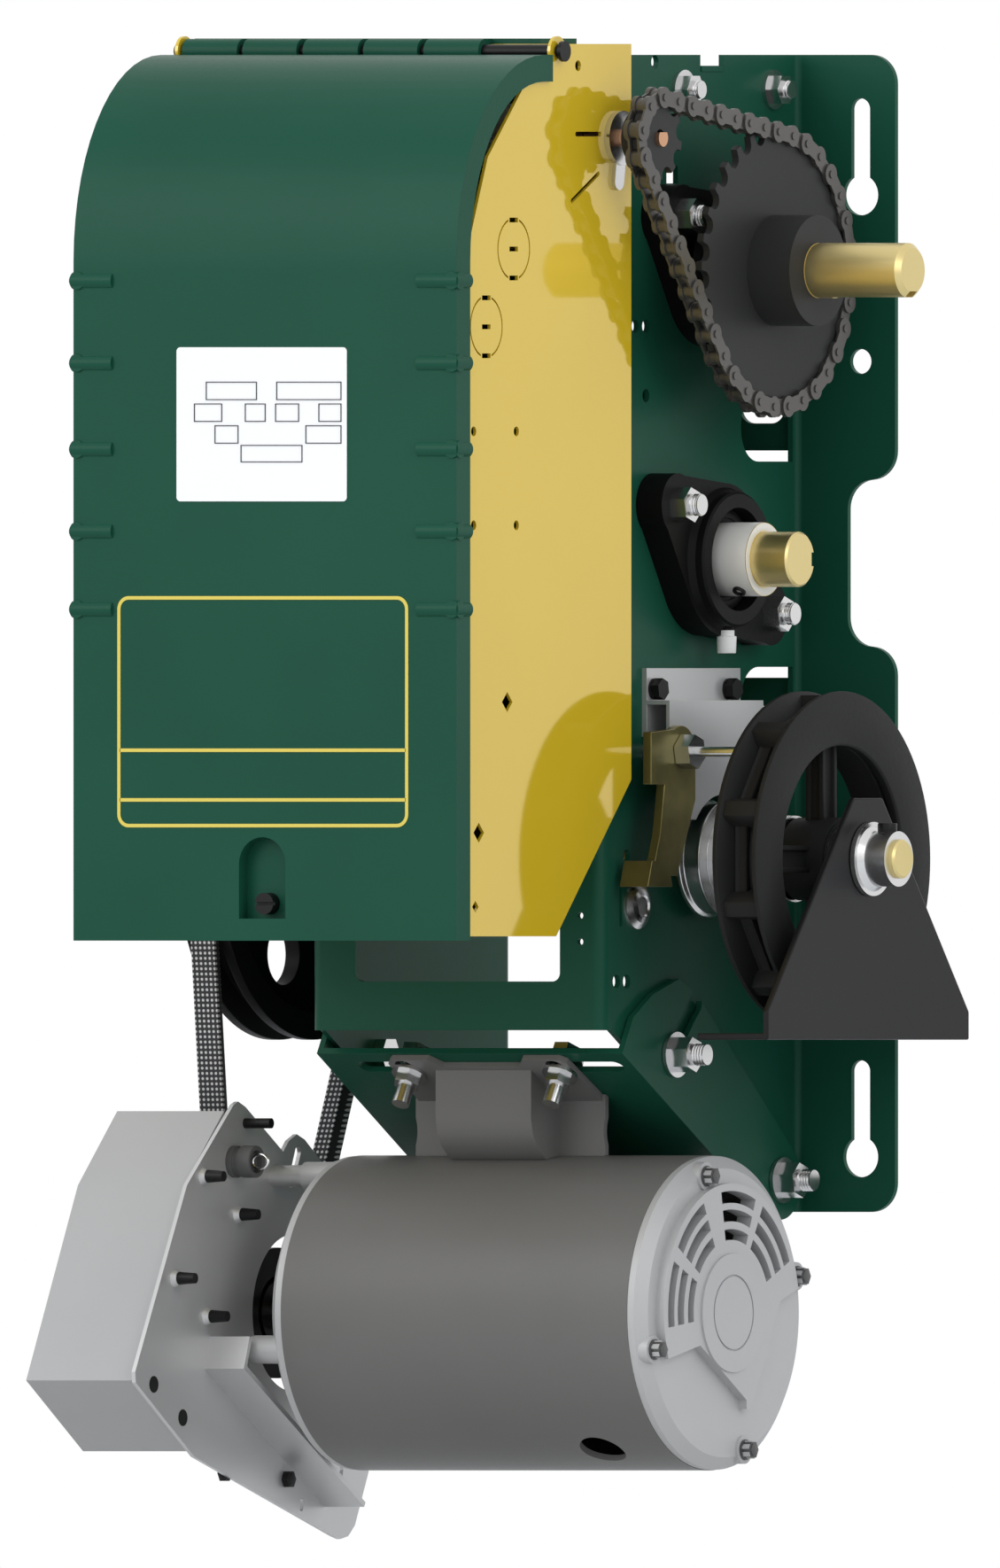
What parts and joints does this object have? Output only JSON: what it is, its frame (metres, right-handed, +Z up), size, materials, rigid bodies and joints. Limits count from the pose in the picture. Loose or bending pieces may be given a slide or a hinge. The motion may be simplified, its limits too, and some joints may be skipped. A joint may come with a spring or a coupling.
{
  "type": "jackshaft door operator",
  "caption": "Wall-mounted jackshaft operator for a roll-up door: framed triple-shaft drive with belted motor, hinged control box, limit chain and hand-chain hoist.",
  "frame": {"origin": "centre of the four keyhole entries on the wall plane", "axes": "+X to the right seen from the room, +Y into the wall, +Z up"},
  "size_m": [0.369, 0.3328, 0.6896],
  "materials": {
    "green_paint": "satin green paint",
    "zinc_yellow": "bright yellow zinc",
    "zinc": "bright zinc",
    "shaft_gold": "yellow zinc, ground",
    "black_cast": "black paint",
    "black_steel": "black oxide",
    "sprocket_steel": "dark oxide",
    "chain_steel": "oiled",
    "bronze": "satin",
    "limit_copper": "copper wash",
    "rubber": "matt, fine texture",
    "alu_cast": "as cast",
    "motor_paint": "grey-brown paint",
    "grey_paint": "light grey paint",
    "olive_zinc": "olive zinc",
    "white_plastic": "satin",
    "black_plastic": "satin",
    "board_green": "satin",
    "transformer_steel": "laminated"
  },
  "bodies": {
    "frame_body": {"frame": "green_paint", "frame_straps": "green_paint", "top_plate": "green_paint", "top_plate_bolts": "zinc", "blank_plug": "zinc", "upper_bearings": "black_cast", "middle_bearings": "black_cast", "lower_bearings": "bronze", "bearing_bolts": "zinc", "control_box": "zinc_yellow", "hinge_strip": "green_paint", "hinge_pin": "black_steel", "limit_bushings": "zinc", "retaining_plate": "zinc", "limit_switches": "black_plastic", "circuit_board": "board_green", "transformer": "transformer_steel", "contactors": "black_plastic", "terminal_strip": "white_plastic", "interlock_bracket": "zinc", "interlock_screws": "black_steel", "lever_bolt": "zinc", "limit_chain": "chain_steel", "upper_drive_chain": "chain_steel", "lower_drive_chain": "chain_steel", "pivot_bolts": "zinc", "lock_bolts": "zinc", "v_belt": "rubber"},
    "output_body": {"output_shaft": "shaft_gold", "output_sprockets": "sprocket_steel", "limit_wheel": "sprocket_steel"},
    "middle_body": {"middle_shaft": "shaft_gold", "middle_sprockets": "sprocket_steel"},
    "input_body": {"input_shaft": "shaft_gold", "input_sprocket": "sprocket_steel", "large_pulley": "black_cast", "clutch_drum": "zinc", "guide_collar": "zinc", "guide_bush": "zinc"},
    "limit_body": {"limit_shaft": "limit_copper", "limit_sprocket": "sprocket_steel"},
    "open_nut_body": {"open_limit_nut": "white_plastic"},
    "close_nut_body": {"close_limit_nut": "white_plastic"},
    "hand_wheel_body": {"hand_wheel": "black_cast"},
    "guide_body": {"chain_guide": "black_steel"},
    "lever_body": {"hoist_lever": "olive_zinc"},
    "motor_body": {"motor_plate": "green_paint", "motor_base": "motor_paint", "motor_bolts": "zinc", "motor_shell": "motor_paint", "right_end_bell": "alu_cast", "left_end_bell": "alu_cast", "belt_plate": "zinc", "belt_guard": "grey_paint", "guard_screws": "black_steel"},
    "rotor_body": {"motor_rotor": "zinc", "motor_pulley": "black_cast"},
    "cover_body": {"cover": "green_paint", "cover_plate": "white_plastic"},
    "latch_body": {"latch_screw": "black_steel"}
  },
  "joints": [
    {"name": "output_shaft_spin", "type": "hinge", "parent": "frame_body", "child": "output_body", "pos_m": [0, -0.084, 0.186], "axis": [1, 0, 0], "continuous": true, "deforming": ["limit_chain", "upper_drive_chain", "lower_drive_chain"]},
    {"name": "middle_shaft_spin", "type": "hinge", "parent": "frame_body", "child": "middle_body", "pos_m": [0, -0.0885, 0.0535], "axis": [1, 0, 0], "continuous": true},
    {"name": "input_shaft_spin", "type": "hinge", "parent": "frame_body", "child": "input_body", "pos_m": [0, -0.092, -0.084], "axis": [1, 0, 0], "continuous": true},
    {"name": "limit_shaft_spin", "type": "hinge", "parent": "frame_body", "child": "limit_body", "pos_m": [0, -0.1857, 0.24684], "axis": [1, 0, 0], "continuous": true},
    {"name": "motor_plate_swing", "type": "hinge", "parent": "frame_body", "child": "motor_body", "pos_m": [0, -0.0229, -0.2314], "axis": [1, 0, 0], "range_deg": [0, 15], "deforming": ["v_belt"]},
    {"name": "motor_rotor_spin", "type": "hinge", "parent": "motor_body", "child": "rotor_body", "pos_m": [0, -0.124, -0.2923], "axis": [1, 0, 0], "continuous": true},
    {"name": "hand_wheel_spin", "type": "hinge", "parent": "frame_body", "child": "hand_wheel_body", "pos_m": [0.1465, -0.092, -0.084], "axis": [1, 0, 0], "continuous": true},
    {"name": "chain_guide_swing", "type": "hinge", "parent": "frame_body", "child": "guide_body", "pos_m": [0.17, -0.092, -0.084], "axis": [1, 0, 0], "range_deg": [-70, 2]},
    {"name": "hoist_lever_swing", "type": "hinge", "parent": "frame_body", "child": "lever_body", "pos_m": [0.096, -0.136, -0.0348], "axis": [1, 0, 0], "range_deg": [-8, 12]},
    {"name": "open_limit_nut_slide", "type": "slide", "parent": "frame_body", "child": "open_nut_body", "axis": [1, 0, 0], "range_m": [-0.018, 0.018]},
    {"name": "close_limit_nut_slide", "type": "slide", "parent": "frame_body", "child": "close_nut_body", "axis": [1, 0, 0], "range_m": [-0.018, 0.018]},
    {"name": "cover_hinge", "type": "hinge", "parent": "frame_body", "child": "cover_body", "pos_m": [0, -0.2383, 0.2866], "axis": [-1, 0, 0], "range_deg": [0, 100]},
    {"name": "latch_screw_turn", "type": "hinge", "parent": "cover_body", "child": "latch_body", "pos_m": [-0.008, -0.331, -0.1045], "axis": [0, -1, 0], "range_deg": [0, 90]}
  ],
  "couplings": [
    {"joint": "middle_shaft_spin", "follows": "output_shaft_spin", "ratio": 3},
    {"joint": "input_shaft_spin", "follows": "output_shaft_spin", "ratio": 9.6},
    {"joint": "limit_shaft_spin", "follows": "output_shaft_spin", "ratio": 3.4444},
    {"joint": "motor_rotor_spin", "follows": "output_shaft_spin", "ratio": 29.169}
  ]
}
